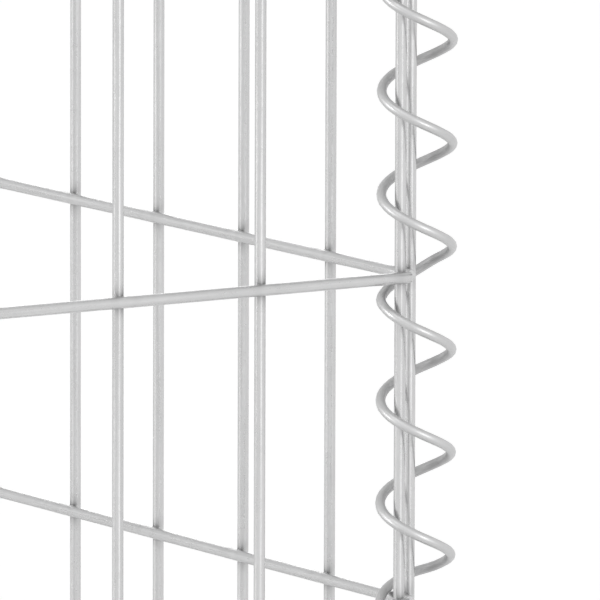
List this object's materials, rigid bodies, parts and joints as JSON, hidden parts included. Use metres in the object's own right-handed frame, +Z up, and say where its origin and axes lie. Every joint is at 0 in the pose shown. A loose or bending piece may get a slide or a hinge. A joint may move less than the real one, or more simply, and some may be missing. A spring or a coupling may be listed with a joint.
{
  "type": "gabion bin store wall cage",
  "caption": "Empty welded-mesh cage for one wall of a gabion bin store, laced along its edges by wire spirals, open at the top for stones.",
  "frame": {"origin": "on the ground, at the middle of the cage's footprint", "axes": "+Z up, +Y along the cage from its front end to its back end, +X to the right seen from the front end"},
  "size_m": [0.3366, 1.0296, 1.2222],
  "materials": {
    "panel_wire": "galvanised, satin",
    "spiral_wire": "galvanised, semi-gloss",
    "tie_wire": "galvanised, semi-gloss"
  },
  "bodies": {
    "root": {"front_panel": "panel_wire", "back_panel": "panel_wire", "right_panel": "panel_wire", "left_panel": "panel_wire", "base_panel": "panel_wire", "front_right_spiral": "spiral_wire", "front_left_spiral": "spiral_wire", "back_right_spiral": "spiral_wire", "back_left_spiral": "spiral_wire", "base_front_spiral": "spiral_wire", "base_back_spiral": "spiral_wire", "base_right_spiral": "spiral_wire", "base_left_spiral": "spiral_wire", "tie_1_1": "tie_wire", "tie_1_2": "tie_wire", "tie_1_3": "tie_wire", "tie_2_1": "tie_wire", "tie_2_2": "tie_wire", "tie_2_3": "tie_wire", "tie_3_1": "tie_wire", "tie_3_2": "tie_wire", "tie_3_3": "tie_wire"}
  },
  "joints": []
}
